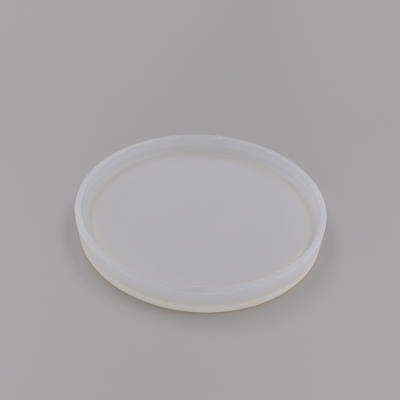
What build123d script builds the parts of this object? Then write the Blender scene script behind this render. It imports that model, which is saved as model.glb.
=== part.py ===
"""A round one-piece silicone mould for casting a 100 mm resin coaster.

The mould is a single moulding: a thick flat floor with a low, slightly
flared wall round it, open at the top. Millimetres, +Z up, with the origin at
the centre of the underside.
"""

import os
from math import atan2, degrees

from build123d import *

# Driving dimensions.
CAVITY_MOUTH_DIAMETER = 100.0
CAVITY_FOOT_DIAMETER = 99.2
RIM_WIDTH = 2.5
BASE_DIAMETER = 104.4
HEIGHT = 11.0
FLOOR_THICKNESS = 3.6

# Roundings.
CAVITY_FILLET = 3.0
RIM_INNER_RADIUS = 0.15
RIM_OUTER_RADIUS = 0.3
BASE_EDGE_RADIUS = 0.2

# Worked out from the driving dimensions.
RIM_DIAMETER = CAVITY_MOUTH_DIAMETER + 2 * RIM_WIDTH
CAVITY_DEPTH = HEIGHT - FLOOR_THICKNESS
OUTER_FLARE = degrees(atan2((RIM_DIAMETER - BASE_DIAMETER) / 2, HEIGHT))
CAVITY_DRAFT = degrees(atan2((CAVITY_MOUTH_DIAMETER - CAVITY_FOOT_DIAMETER) / 2, CAVITY_DEPTH))


def export(piece, name):
    """Labels a finished piece and writes it as the node of that name."""
    piece.part.label = name
    export_step(piece.part, f"parts/{name}.step")


def make_mould():
    """The whole mould: floor, wall and rim in one solid piece of silicone."""
    with BuildPart() as mould:
        with BuildSketch(Plane.XY):
            Circle(BASE_DIAMETER / 2)
        extrude(amount=HEIGHT, taper=-OUTER_FLARE)

        with BuildSketch(Plane.XY.offset(HEIGHT)):
            Circle(CAVITY_MOUTH_DIAMETER / 2)
        extrude(amount=-CAVITY_DEPTH, taper=CAVITY_DRAFT, mode=Mode.SUBTRACT)

        rings = mould.edges().filter_by(GeomType.CIRCLE).group_by(Axis.Z)
        base_edge, cavity_foot, rim_edges = rings[0], rings[1], rings[-1].sort_by(SortBy.RADIUS)
        fillet(base_edge, BASE_EDGE_RADIUS)
        fillet(cavity_foot, CAVITY_FILLET)
        fillet(rim_edges[0], RIM_INNER_RADIUS)
        fillet(rim_edges[-1], RIM_OUTER_RADIUS)
    return mould


os.makedirs("parts", exist_ok=True)
export(make_mould(), "silicone_mould")
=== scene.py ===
"""The looks of the round silicone mould: one softly uneven moulding in milky silicone.

The mould's section is drawn from a few sizes and turned round the Z axis. It stands on a
plain table under soft light. Everything is in metres, in the frame of the CAD model.
"""

from math import cos, pi, radians, sin

import bmesh
import bpy
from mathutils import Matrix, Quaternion, Vector


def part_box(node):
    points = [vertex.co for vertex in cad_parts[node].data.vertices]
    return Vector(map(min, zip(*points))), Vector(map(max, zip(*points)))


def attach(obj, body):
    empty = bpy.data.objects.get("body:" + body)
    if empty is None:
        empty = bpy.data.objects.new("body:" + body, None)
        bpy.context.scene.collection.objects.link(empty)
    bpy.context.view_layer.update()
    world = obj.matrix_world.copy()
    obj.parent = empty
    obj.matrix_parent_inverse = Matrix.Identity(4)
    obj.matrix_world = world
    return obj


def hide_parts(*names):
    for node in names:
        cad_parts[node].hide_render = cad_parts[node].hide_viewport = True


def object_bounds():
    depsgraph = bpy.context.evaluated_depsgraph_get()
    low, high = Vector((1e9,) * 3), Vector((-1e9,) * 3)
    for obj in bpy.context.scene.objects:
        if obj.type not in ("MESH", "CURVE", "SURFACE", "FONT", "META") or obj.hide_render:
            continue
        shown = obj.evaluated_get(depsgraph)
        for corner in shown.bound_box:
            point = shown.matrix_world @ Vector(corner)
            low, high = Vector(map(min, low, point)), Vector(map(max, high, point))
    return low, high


# A millimetre in metres. Azimuths are in degrees from +X towards +Y, and the front is at -90.
MM = 0.001

# The mould's section. Its height and rim radius are read from the frame.
RIM_WIDTH = 2.5 * MM
FLOOR_THICKNESS = 3.6 * MM
BASE_INSET = 0.3 * MM
CAVITY_DRAFT = 0.4 * MM
CAVITY_FILLET = 3.0 * MM
RIM_INNER_RADIUS = 0.15 * MM
RIM_OUTER_RADIUS = 0.3 * MM
BASE_EDGE_RADIUS = 0.2 * MM

# How finely the section is turned, and how many steps each part of it has.
TURN_STEPS = 288
ARC_STEPS = 10
FILLET_STEPS = 16
UNDERSIDE_STEPS = 20
OUTER_WALL_STEPS = 14
RIM_STEPS = 6
INNER_WALL_STEPS = 8
FLOOR_STEPS = 28

# The soft mould stands a little out of round, and its rim is a little uneven in height. Each is
# a few waves: (waves in a turn, or 0 for the same all round, size, azimuth of a peak).
RIM_LOBES = ((2, 0.24 * MM, 50.0), (3, 0.16 * MM, 46.0), (5, 0.03 * MM, 10.0))
BASE_LOBES = ((1, 0.06 * MM, 290.0), (2, 0.04 * MM, 290.0), (3, 0.07 * MM, 288.0))
CAVITY_LOBES = ((0, 0.1 * MM, 0.0), (2, 0.15 * MM, 155.0), (3, 0.1 * MM, 310.0))
RIM_WAVES = ((2, 0.04 * MM, 120.0), (5, 0.03 * MM, 20.0))

# How fast that fades away from the rim: powers of the share of the way outwards and upwards.
LOBE_OUTWARD_POWER = 4
WAVE_OUTWARD_POWER = 8
WAVE_UPWARD_POWER = 3

# The silicone's colour and some painted glow: over the cavity's floor by radius, up the walls by
# height, in mm.
FLOOR_COLOURS = (
    (0.0, (0.545, 0.535, 0.565)),
    (37.0, (0.560, 0.550, 0.580)),
    (41.0, (0.570, 0.560, 0.580)),
    # From here the floor turns warm towards the wall: a painted glow of light come through the
    # silicone.
    (43.0, (0.580, 0.560, 0.580)),
    (45.0, (0.585, 0.570, 0.570)),
    (46.7, (0.640, 0.615, 0.610)),
    (48.7, (0.695, 0.680, 0.680)),
    (49.6, (0.710, 0.715, 0.735)),
)
INNER_WALL_COLOURS = (
    (5.0, (0.705, 0.700, 0.710)),
    (7.0, (0.720, 0.730, 0.760)),
    (9.5, (0.680, 0.690, 0.730)),
    (10.7, (0.645, 0.655, 0.695)),
)
# Low on the outer wall the warm bright band is a painted glow of light that leaves the floor.
OUTER_WALL_COLOURS = (
    (0.0, (0.970, 0.900, 0.850)),
    (1.2, (0.970, 0.900, 0.850)),
    (2.6, (0.945, 0.890, 0.865)),
    (3.2, (0.940, 0.885, 0.860)),
    (4.2, (0.795, 0.775, 0.755)),
    (6.0, (0.780, 0.770, 0.780)),
    (8.3, (0.775, 0.780, 0.805)),
    (10.3, (0.765, 0.770, 0.810)),
)
RIM_COLOUR = (0.605, 0.610, 0.645)

# Painted light and shade: how bright each part is round the mould: (azimuth, share of the full
# colour).
FLOOR_EDGE_PAINTED_SHADES = (
    (-180, 0.97), (-150, 1.01), (-90, 1.0), (-60, 1.0), (-30, 1.02), (0, 1.03),
    (30, 1.02), (60, 1.01), (90, 0.99), (120, 0.995), (150, 0.975), (180, 0.97),
)
INNER_WALL_PAINTED_SHADES = (
    (-180, 0.93), (-150, 0.90), (-30, 0.88), (0, 0.985), (30, 1.02), (60, 1.05),
    (90, 1.055), (120, 1.02), (150, 0.97), (180, 0.93),
)
OUTER_WALL_PAINTED_SHADES = (
    (-180, 1.0), (-140, 1.02), (-100, 0.985), (-70, 0.985), (-45, 1.01), (-30, 1.05),
    (0, 1.05), (60, 1.0), (180, 1.0),
)
RIM_PAINTED_SHADES = (
    (-180, 0.95), (-160, 0.985), (-135, 0.935), (-90, 0.835), (-60, 0.94), (-30, 1.015), (0, 1.01),
    (30, 0.94), (60, 0.84), (90, 0.835), (120, 0.90), (150, 0.915), (180, 0.95),
)

# Where one part gives way to the next, by radius or by height: (none of it, all of it).
FLOOR_EDGE_RISE = (28.0 * MM, 41.0 * MM)
FLOOR_EDGE_FALL = (48.0 * MM, 46.0 * MM)
INNER_SHADES_RISE = (47.3 * MM, 49.2 * MM)
INNER_WALL_RISE = (FLOOR_THICKNESS + 0.6 * CAVITY_FILLET, FLOOR_THICKNESS + 1.1 * CAVITY_FILLET)
SLAB_FALL = (4.4 * MM, 3.0 * MM)

# The same from the middle of the rim's width outwards, and from the height of its top upwards.
OUTSIDE_RISE = (-0.6 * MM, 0.6 * MM)
INNER_EDGE_FALL = (-0.3 * MM, -1.1 * MM)
OUTER_EDGE_RISE = (0.6 * MM, 1.1 * MM)
RIM_TOP_RISE = (-0.5 * MM, -0.1 * MM)

# Painted shade makes the rim duller along both its edges, where they would catch light, and along the
# inner one most of all at the front. The front sets in by the sine of the azimuth, which is -1
# straight in front.
INNER_EDGE_PAINTED_SHADE = 0.05
INNER_EDGE_FRONT_PAINTED_SHADE = 0.08
OUTER_EDGE_PAINTED_SHADE = 0.04
RIM_FRONT_FALL = (0.2, -0.5)

# A painted shade: a duller ring at the foot of the inner wall, where the wall shades the floor, by the
# distance from a centre of its own. Its wide part is fullest in one direction, and its narrow part has
# shares of its own: (azimuth, share).
RING_SHADE_COLOUR = (0.845, 0.840, 0.825)
RING_CENTRE = Vector((0.8, -0.3, 0.0)) * MM
WIDE_RING_AZIMUTH = 76.0
WIDE_RING_POWER = 3.0
WIDE_RING_RISE = (37.0 * MM, 46.0 * MM)
WIDE_RING_FALL = (48.2 * MM, 46.2 * MM)
NARROW_RING_RISE = (46.0 * MM, 47.2 * MM)
NARROW_RING_FALL = (48.9 * MM, 47.6 * MM)
NARROW_RING_SHARES = (
    (-180, 0.35), (-160, 0.55), (-110, 0.0), (-70, 0.0), (-20, 0.65), (0, 0.25),
    (20, 0.2), (40, 0.4), (80, 0.45), (100, 0.0), (160, 0.05), (180, 0.35),
)

# The silicone's surface: faint clouds, an uneven gloss and a fine moulded grain.
CLOUD_SIZE = 9.0 * MM
CLOUD_GREY = 0.70
CLOUD_SHARE = 0.08
SMUDGE_SIZE = 14.0 * MM
SMUDGE_NOISE_RANGE = (0.3, 0.7)
ROUGHNESS_RANGE = (0.38, 0.52)
GRAIN_SIZE = 0.9 * MM
GRAIN_DEPTH = 0.02 * MM
GRAIN_STRENGTH = 0.25

# How far light goes under the surface, and how much less far low on the outer wall, which stays
# bright right down to the table.
LIGHT_REACH = 2.2 * MM
SLAB_REACH_LOSS = 2.0 * MM
LIGHT_REACH_BY_COLOUR = (1.0, 0.85, 0.72)
SILICONE_IOR = 1.41

# The table, a hair below the mould. Painted shade makes its grey a little darker towards the back, and
# along a line through the middle that leans to the right as it goes back.
TABLE_HALF_WIDTH = 3.0
TABLE_GAP = 0.02 * MM
TABLE_COLOURS = ((0.435, 0.425, 0.435), (0.460, 0.445, 0.455))
TABLE_GRAIN_SIZE = 1.2 * MM
TABLE_FRONT_SHADE = 1.033
TABLE_BACK_SHADE = 0.967
TABLE_BACK_RISE = (-60.0 * MM, 100.0 * MM)
TABLE_MIDDLE_SHADE = 0.92
TABLE_MIDDLE_SHARE = 0.55
TABLE_MIDDLE_LEAN = 0.12
TABLE_MIDDLE_FALL = (80.0 * MM, 0.0)
TABLE_ROUGHNESS = 0.6
TABLE_SPECULAR = 0.3

# Painted light and shade on the table in front of the mould: a wide pale patch of painted light, a
# painted warm glow of the light that comes through the silicone, and a thin painted shadow under the
# edge. Each is (colour, fall by the distance from the mould's middle). The front sets in by the sine
# of the azimuth again.
TABLE_PAINTED_LIGHT_AND_SHADOW = (
    ((0.480, 0.466, 0.474), (60.0 * MM, 54.0 * MM)),
    ((0.495, 0.455, 0.430), (56.5 * MM, 51.5 * MM)),
    ((0.435, 0.400, 0.380), (53.3 * MM, 52.5 * MM)),
)
TABLE_FRONT_FALL = (-0.1, -0.9)

# How fast the light from the sides fades above the horizon: the power of the share that is left.
HORIZON_POWER = 2.0

# The soft lights, all at one distance: (name, azimuth, elevation, width in metres, watts).
LIGHT_DISTANCE = 2.5
LIGHTS = (
    ("left_lamp", 172, 61, 0.38, 1.7),
    ("left_softbox", 135, 54, 1.2, 12.0),
    ("right_lamp", 8, 60, 0.65, 6.9),
    ("right_softbox", 50, 60, 0.9, 5.5),
)

# The camera: degrees and metres, on a 36 mm sensor.
CAMERA_LENS_MM = 40.5
CAMERA_CLIP_START = 10.0 * MM
CAMERA_ELEVATION = 38.0
CAMERA_ROLL = 3.2
CAMERA_DISTANCE = 198.45 * MM
CAMERA_AIM_OFFSET = Vector((-0.75, 4.55, -0.1)) * MM

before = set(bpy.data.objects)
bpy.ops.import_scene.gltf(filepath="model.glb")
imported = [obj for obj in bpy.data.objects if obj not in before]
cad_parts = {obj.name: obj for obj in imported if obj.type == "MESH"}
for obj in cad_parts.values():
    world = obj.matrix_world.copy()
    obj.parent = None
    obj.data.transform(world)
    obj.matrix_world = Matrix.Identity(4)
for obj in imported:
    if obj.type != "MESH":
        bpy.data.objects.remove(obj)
cad_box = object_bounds()


def link(name, data):
    """A new object in the scene, for a mesh, a light or a camera."""
    thing = bpy.data.objects.new(name, data)
    bpy.context.scene.collection.objects.link(thing)
    return thing


def waves(angle, terms):
    """The sum of a few slow waves round the mould, at an angle in radians."""
    return sum(size * cos(count * (angle - radians(peak))) for count, size, peak in terms)


def arc(centre, radius, start, end, steps):
    """Points on an arc of the section, both ends included. Angles are in degrees."""
    angles = [radians(start + (end - start) * i / steps) for i in range(steps + 1)]
    return [(centre[0] + radius * cos(angle), centre[1] + radius * sin(angle)) for angle in angles]


def run(start, end, steps):
    """Points between two ends, neither included, closer together near both ends."""
    shares = [(1 - cos(pi * i / steps)) / 2 for i in range(1, steps)]
    across, up = end[0] - start[0], end[1] - start[1]
    return [(start[0] + across * share, start[1] + up * share) for share in shares]


def section(rim_radius, height):
    """Half the section as (radius, height) points, from the underside's middle to the floor's."""
    base_radius = rim_radius - BASE_INSET
    mouth_radius = rim_radius - RIM_WIDTH
    foot_radius = mouth_radius - CAVITY_DRAFT
    base_centre = (base_radius - BASE_EDGE_RADIUS, BASE_EDGE_RADIUS)
    outer_centre = (rim_radius - RIM_OUTER_RADIUS, height - RIM_OUTER_RADIUS)
    inner_centre = (mouth_radius + RIM_INNER_RADIUS, height - RIM_INNER_RADIUS)
    fillet_centre = (foot_radius - CAVITY_FILLET, FLOOR_THICKNESS + CAVITY_FILLET)
    base_edge = arc(base_centre, BASE_EDGE_RADIUS, -90, 0, ARC_STEPS)
    rim_outer = arc(outer_centre, RIM_OUTER_RADIUS, 0, 90, ARC_STEPS)
    rim_inner = arc(inner_centre, RIM_INNER_RADIUS, 90, 180, ARC_STEPS)
    fillet = arc(fillet_centre, CAVITY_FILLET, 0, -90, FILLET_STEPS)
    under_middle = (0.0, 0.0)
    floor_middle = (0.0, FLOOR_THICKNESS)
    points = [under_middle]
    points += run(under_middle, base_edge[0], UNDERSIDE_STEPS) + base_edge
    points += run(base_edge[-1], rim_outer[0], OUTER_WALL_STEPS) + rim_outer
    points += run(rim_outer[-1], rim_inner[0], RIM_STEPS) + rim_inner
    points += run(rim_inner[-1], fillet[0], INNER_WALL_STEPS) + fillet
    points += run(fillet[-1], floor_middle, FLOOR_STEPS) + [floor_middle]
    return points


def strayed(radius, level, angle, rim_radius, height):
    """Where a point of the section lies at an angle, once the soft silicone has strayed."""
    upward = level / height
    outward = radius / rim_radius
    in_cavity = min(1.0, (rim_radius - radius) / RIM_WIDTH)
    stray = upward * waves(angle, RIM_LOBES) + (1 - upward) * waves(angle, BASE_LOBES)
    stray += upward * in_cavity * waves(angle, CAVITY_LOBES)
    reach = radius + stray * outward ** LOBE_OUTWARD_POWER
    rise = upward ** WAVE_UPWARD_POWER * waves(angle, RIM_WAVES) * outward ** WAVE_OUTWARD_POWER
    return reach * cos(angle), reach * sin(angle), level + rise


def turned(mesh, radius, level, rim_radius, height):
    """The ring of vertices that a point of the section makes, or one vertex on the axis."""
    if radius == 0:
        return [mesh.verts.new((0, 0, level))]
    angles = [2 * pi * i / TURN_STEPS for i in range(TURN_STEPS)]
    return [mesh.verts.new(strayed(radius, level, angle, rim_radius, height)) for angle in angles]


def join(mesh, inner, outer):
    """Smooth faces between one ring of vertices and the next."""
    for i in range(TURN_STEPS):
        j = (i + 1) % TURN_STEPS
        if len(inner) == 1:
            corners = (inner[0], outer[j], outer[i])
        elif len(outer) == 1:
            corners = (inner[i], inner[j], outer[0])
        else:
            corners = (inner[i], inner[j], outer[j], outer[i])
        mesh.faces.new(corners).smooth = True


def make_mould():
    """The section turned into a closed mesh, which stands in for the CAD's mould."""
    _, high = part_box("silicone_mould")
    rim_radius, height = high.x, high.z
    points = section(rim_radius, height)
    mesh = bmesh.new()
    rings = [turned(mesh, radius, level, rim_radius, height) for radius, level in points]
    for inner, outer in zip(rings, rings[1:]):
        join(mesh, inner, outer)
    bmesh.ops.recalc_face_normals(mesh, faces=mesh.faces)
    data = bpy.data.meshes.new("milky_mould")
    mesh.to_mesh(data)
    mesh.free()
    data.materials.append(milky_silicone(rim_radius, height))
    mould = link("milky_mould", data)
    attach(mould, "root")
    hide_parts("silicone_mould")


def rgba(colour):
    """The four numbers that Blender takes, from a colour's three or from one grey."""
    red, green, blue = colour if isinstance(colour, tuple) else (colour, colour, colour)
    return red, green, blue, 1.0


class Nodes:
    """A short way to write the node tree of a material or of the world."""

    def __init__(self, owner):
        owner.use_nodes = True
        self.tree = owner.node_tree

    def put(self, node, inputs):
        """Fills inputs of a node. Each takes a value, or a socket to link from."""
        for key, value in inputs.items():
            socket = node.inputs[key]
            if isinstance(value, bpy.types.NodeSocket):
                self.tree.links.new(value, socket)
            elif socket.type == "RGBA":
                socket.default_value = rgba(value)
            else:
                socket.default_value = value

    def add(self, kind, inputs, **settings):
        """A new node with its inputs and settings."""
        node = self.tree.nodes.new(kind)
        for key, value in settings.items():
            setattr(node, key, value)
        self.put(node, inputs)
        return node

    def coordinates(self, name):
        """Where each point is, in one of Blender's sets of coordinates."""
        return self.add("ShaderNodeTexCoord", {}).outputs[name]

    def parts(self, vector):
        """The x, y and z of a vector."""
        return self.add("ShaderNodeSeparateXYZ", {"Vector": vector}).outputs

    def math(self, operation, a, b=0.0):
        """One operation on one or two numbers."""
        return self.add("ShaderNodeMath", {0: a, 1: b}, operation=operation).outputs["Value"]

    def product(self, first, *others):
        """Several numbers multiplied."""
        for other in others:
            first = self.math("MULTIPLY", first, other)
        return first

    def vector(self, operation, a, b):
        """One operation on two vectors that gives a vector."""
        node = self.add("ShaderNodeVectorMath", {0: a, 1: b}, operation=operation)
        return node.outputs["Vector"]

    def length(self, vector):
        """The length of a vector."""
        node = self.add("ShaderNodeVectorMath", {0: vector}, operation="LENGTH")
        return node.outputs["Value"]

    def along(self, vector, direction):
        """How far a vector goes in a direction, given as another vector one unit long."""
        node = self.add("ShaderNodeVectorMath", {0: vector, 1: direction}, operation="DOT_PRODUCT")
        return node.outputs["Value"]

    def rescale(self, value, before, after=(0.0, 1.0), **settings):
        """A value moved from one range to another, and held within it."""
        inputs = {
            "Value": value,
            "From Min": before[0],
            "From Max": before[1],
            "To Min": after[0],
            "To Max": after[1],
        }
        return self.add("ShaderNodeMapRange", inputs, **settings).outputs["Result"]

    def step(self, value, none_at, all_at):
        """0 on one side, 1 on the other and smooth between. It falls where none_at is the larger."""
        before, after = (none_at, all_at), (0.0, 1.0)
        if none_at > all_at:
            before, after = (all_at, none_at), (1.0, 0.0)
        return self.rescale(value, before, after, interpolation_type="SMOOTHSTEP")

    def ramp(self, value, stops, unit=MM):
        """A colour or a grey that changes with a value: stops are (place in units, colour or grey)."""
        start, end = stops[0][0] * unit, stops[-1][0] * unit
        node = self.add("ShaderNodeValToRGB", {"Fac": self.rescale(value, (start, end))})
        points = node.color_ramp.elements
        while len(points) < len(stops):
            points.new(0.5)
        for point, (at, colour) in zip(points, stops):
            point.position = (at * unit - start) / (end - start)
            point.color = rgba(colour)
        return node.outputs["Color"]

    def mix(self, share, a, b, blend="MIX"):
        """Two colours mixed. The share of the second goes from 0 to 1."""
        inputs = {"Factor": share, "A": a, "B": b}
        node = self.add("ShaderNodeMix", inputs, data_type="RGBA", blend_type=blend)
        return node.outputs["Result"]

    def tinted(self, colour, tint):
        """A colour multiplied by another colour or by a grey."""
        return self.mix(1.0, colour, tint, blend="MULTIPLY")

    def noise(self, place, size, detail, roughness=0.5):
        """A noise value from 0 to 1 whose features are about size metres across."""
        inputs = {"Vector": place, "Scale": 1 / size, "Detail": detail, "Roughness": roughness}
        return self.add("ShaderNodeTexNoise", inputs).outputs[0]


class Silicone(Nodes):
    """The nodes of the mould's material, which go by the place on the mould."""

    def __init__(self, material, rim_radius, height):
        super().__init__(material)
        self.point = self.coordinates("Object")
        x, self.y, self.level = self.parts(self.point)
        self.flat_point = self.vector("MULTIPLY", self.point, (1, 1, 0))
        self.radius = self.length(self.flat_point)
        self.azimuth = self.math("ARCTAN2", self.y, x)
        self.from_rim_middle = self.math("SUBTRACT", self.radius, rim_radius - RIM_WIDTH / 2)
        self.from_rim_top = self.math("SUBTRACT", self.level, height)
        self.outside_share = self.step(self.from_rim_middle, *OUTSIDE_RISE)

    def round_ramp(self, stops):
        """A grey that changes round the mould: stops are (azimuth, grey)."""
        return self.ramp(self.azimuth, stops, unit=radians(1))

    def shaded(self, colour, stops, share=1.0):
        """A colour with painted light and shade round the mould, as far as the share says."""
        return self.mix(share, colour, self.tinted(colour, self.round_ramp(stops)))

    def ring_shade_share(self):
        """How much of the painted ring of shade there is: the wide part or the narrow one, whichever
        is more.
        """
        azimuth = radians(WIDE_RING_AZIMUTH)
        along = self.along(self.point, Vector((cos(azimuth), sin(azimuth), 0)))
        facing = self.math("MAXIMUM", self.math("DIVIDE", along, self.radius), 0.0)
        from_centre = self.length(self.vector("SUBTRACT", self.flat_point, RING_CENTRE))
        wide = self.product(
            self.math("POWER", facing, WIDE_RING_POWER),
            self.step(from_centre, *WIDE_RING_RISE),
            self.step(from_centre, *WIDE_RING_FALL),
        )
        narrow = self.product(
            self.round_ramp(NARROW_RING_SHARES),
            self.step(from_centre, *NARROW_RING_RISE),
            self.step(from_centre, *NARROW_RING_FALL),
        )
        return self.math("MAXIMUM", wide, narrow)

    def floor(self):
        """The colour of the cavity's floor, with painted light and shade round its edge and a painted
        ring of shade at the wall's foot.
        """
        rise = self.step(self.radius, *FLOOR_EDGE_RISE)
        edge = self.product(rise, self.step(self.radius, *FLOOR_EDGE_FALL))
        floor = self.shaded(self.ramp(self.radius, FLOOR_COLOURS), FLOOR_EDGE_PAINTED_SHADES, edge)
        return self.mix(self.ring_shade_share(), floor, self.tinted(floor, RING_SHADE_COLOUR))

    def cavity(self):
        """The colour of the cavity: its floor, and its wall above that, with painted light and shade
        round the wall.
        """
        wall = self.ramp(self.level, INNER_WALL_COLOURS)
        cavity = self.mix(self.step(self.level, *INNER_WALL_RISE), self.floor(), wall)
        return self.shaded(cavity, INNER_WALL_PAINTED_SHADES, self.step(self.radius, *INNER_SHADES_RISE))

    def outer_wall(self):
        """The colour of the outer wall: bright and warm low down, a painted glow where light leaves
        the floor, with painted light and shade round it.
        """
        return self.shaded(self.ramp(self.level, OUTER_WALL_COLOURS), OUTER_WALL_PAINTED_SHADES)

    def rim(self):
        """The colour of the rim's top, with painted shade along its edges and painted light and shade
        round it.
        """
        front = self.step(self.math("DIVIDE", self.y, self.radius), *RIM_FRONT_FALL)
        front_painted_shade = self.product(front, INNER_EDGE_FRONT_PAINTED_SHADE)
        inner_painted_shade = self.math("ADD", INNER_EDGE_PAINTED_SHADE, front_painted_shade)
        inner_edge = self.step(self.from_rim_middle, *INNER_EDGE_FALL)
        outer_edge = self.step(self.from_rim_middle, *OUTER_EDGE_RISE)
        inner = self.product(inner_edge, inner_painted_shade)
        outer = self.product(outer_edge, OUTER_EDGE_PAINTED_SHADE)
        shade = self.math("SUBTRACT", 1.0, self.math("ADD", inner, outer))
        return self.shaded(self.tinted(RIM_COLOUR, shade), RIM_PAINTED_SHADES)

    def colour(self):
        """The colour of every part, under faint clouds."""
        walls = self.mix(self.outside_share, self.cavity(), self.outer_wall())
        colour = self.mix(self.step(self.from_rim_top, *RIM_TOP_RISE), walls, self.rim())
        cloud = self.noise(self.point, CLOUD_SIZE, detail=3.0)
        return self.mix(self.product(cloud, CLOUD_SHARE), colour, CLOUD_GREY)

    def roughness(self):
        """An uneven gloss, as on silicone that has been handled."""
        smudge = self.noise(self.point, SMUDGE_SIZE, detail=4.0, roughness=0.6)
        return self.rescale(smudge, SMUDGE_NOISE_RANGE, ROUGHNESS_RANGE)

    def grain(self):
        """The fine grain of the surface."""
        grain = self.noise(self.point, GRAIN_SIZE, detail=3.0)
        inputs = {"Strength": GRAIN_STRENGTH, "Distance": GRAIN_DEPTH, "Height": grain}
        return self.add("ShaderNodeBump", inputs).outputs["Normal"]

    def light_reach(self):
        """How far light goes under the surface."""
        slab = self.step(self.level, *SLAB_FALL)
        loss = self.product(self.outside_share, slab, SLAB_REACH_LOSS)
        return self.math("SUBTRACT", LIGHT_REACH, loss)


def milky_silicone(rim_radius, height):
    """Milky silicone: cool where it is thin, and warm where light has come far through it, partly as
    painted glow.
    """
    material = bpy.data.materials.new("soft_milky_silicone")
    nodes = Silicone(material, rim_radius, height)
    nodes.put(material.node_tree.nodes["Principled BSDF"], {
        "Base Color": nodes.colour(),
        "Roughness": nodes.roughness(),
        "Normal": nodes.grain(),
        "IOR": SILICONE_IOR,
        "Subsurface Weight": 1.0,
        "Subsurface Radius": LIGHT_REACH_BY_COLOUR,
        "Subsurface Scale": nodes.light_reach(),
    })
    return material


def pale_table():
    """A finely grained pale grey, with painted shade towards the back and in the middle, and the
    mould's painted glow and shadow in front of it.
    """
    material = bpy.data.materials.new("pale_table")
    nodes = Nodes(material)
    point = nodes.coordinates("Object")
    x, y, _ = nodes.parts(point)
    distance = nodes.length(point)

    grain = nodes.noise(point, TABLE_GRAIN_SIZE, detail=4.0, roughness=0.6)
    behind = nodes.step(y, *TABLE_BACK_RISE)
    line = nodes.product(y, TABLE_MIDDLE_LEAN)
    aside = nodes.math("ABSOLUTE", nodes.math("SUBTRACT", x, line))
    middle = nodes.product(nodes.step(aside, *TABLE_MIDDLE_FALL), TABLE_MIDDLE_SHARE)
    shade = nodes.mix(behind, TABLE_FRONT_SHADE, TABLE_BACK_SHADE)
    shade = nodes.mix(middle, shade, TABLE_MIDDLE_SHADE)
    colour = nodes.tinted(nodes.mix(grain, *TABLE_COLOURS), shade)

    # The painted light and shadow that the mould throws on the table in front of it.
    front = nodes.step(nodes.math("DIVIDE", y, distance), *TABLE_FRONT_FALL)
    for tint, fall in TABLE_PAINTED_LIGHT_AND_SHADOW:
        share = nodes.product(front, nodes.step(distance, *fall))
        colour = nodes.mix(share, colour, tint)

    nodes.put(material.node_tree.nodes["Principled BSDF"], {
        "Base Color": colour,
        "Roughness": TABLE_ROUGHNESS,
        "Specular IOR Level": TABLE_SPECULAR,
    })
    return material


def make_table():
    """A plain square table top."""
    signs = ((-1, -1), (1, -1), (1, 1), (-1, 1))
    corners = [(x * TABLE_HALF_WIDTH, y * TABLE_HALF_WIDTH, -TABLE_GAP) for x, y in signs]
    data = bpy.data.meshes.new("table_top")
    data.from_pydata(corners, [], [(0, 1, 2, 3)])
    data.materials.append(pale_table())
    table = link("table_top", data)


def make_surround(overhead, left, right, behind, front):
    """Light from all round: a strength straight up, and one for each side, most at the horizon."""
    world = bpy.data.worlds.new("soft_surround")
    bpy.context.scene.world = world
    nodes = Nodes(world)
    x, y, z = nodes.parts(nodes.coordinates("Generated"))
    up = nodes.math("MAXIMUM", z, 0.0)
    low = nodes.math("POWER", nodes.math("SUBTRACT", 1.0, up), HORIZON_POWER)
    strength = nodes.product(up, up, overhead)
    sides = (
        (x, "MINIMUM", left),
        (x, "MAXIMUM", right),
        (y, "MAXIMUM", behind),
        (y, "MINIMUM", front),
    )
    for axis, half, amount in sides:
        towards = nodes.math(half, axis, 0.0)
        glow = nodes.product(towards, towards, low, amount)
        strength = nodes.math("ADD", strength, glow)
    nodes.put(world.node_tree.nodes["Background"], {"Color": 1.0, "Strength": strength})


def make_light(name, azimuth, elevation, width, watts):
    """A soft square light that faces the mould."""
    data = bpy.data.lights.new(name, "AREA")
    data.shape = "SQUARE"
    data.size = width
    data.energy = watts
    around, up = radians(azimuth), radians(elevation)
    away = Vector((cos(around) * cos(up), sin(around) * cos(up), sin(up)))
    light = link(name, data)
    light.location = away * LIGHT_DISTANCE
    light.rotation_mode = "QUATERNION"
    light.rotation_quaternion = away.to_track_quat("Z", "Y")


def make_lights():
    """A soft room, and two soft lights on each side for the faint edges of the shadows."""
    make_surround(overhead=0.60, left=1.95, right=2.10, behind=0.47, front=1.37)
    for name, azimuth, elevation, width, watts in LIGHTS:
        make_light(name, azimuth, elevation, width, watts)


def make_camera():
    """Looks down at the mould from the front."""
    data = bpy.data.cameras.new("camera")
    data.lens = CAMERA_LENS_MM
    data.clip_start = CAMERA_CLIP_START
    low, high = cad_box
    aim = (low + high) / 2 + CAMERA_AIM_OFFSET
    elevation = radians(CAMERA_ELEVATION)
    back = Vector((0, -cos(elevation), sin(elevation)))
    roll = Quaternion((0, 0, 1), radians(CAMERA_ROLL))
    camera = link("camera", data)
    camera.location = aim + back * CAMERA_DISTANCE
    camera.rotation_mode = "QUATERNION"
    camera.rotation_quaternion = back.to_track_quat("Z", "Y") @ roll
    bpy.context.scene.camera = camera


make_camera()
make_lights()
make_table()
make_mould()
bpy.context.scene.view_settings.view_transform = "Standard"
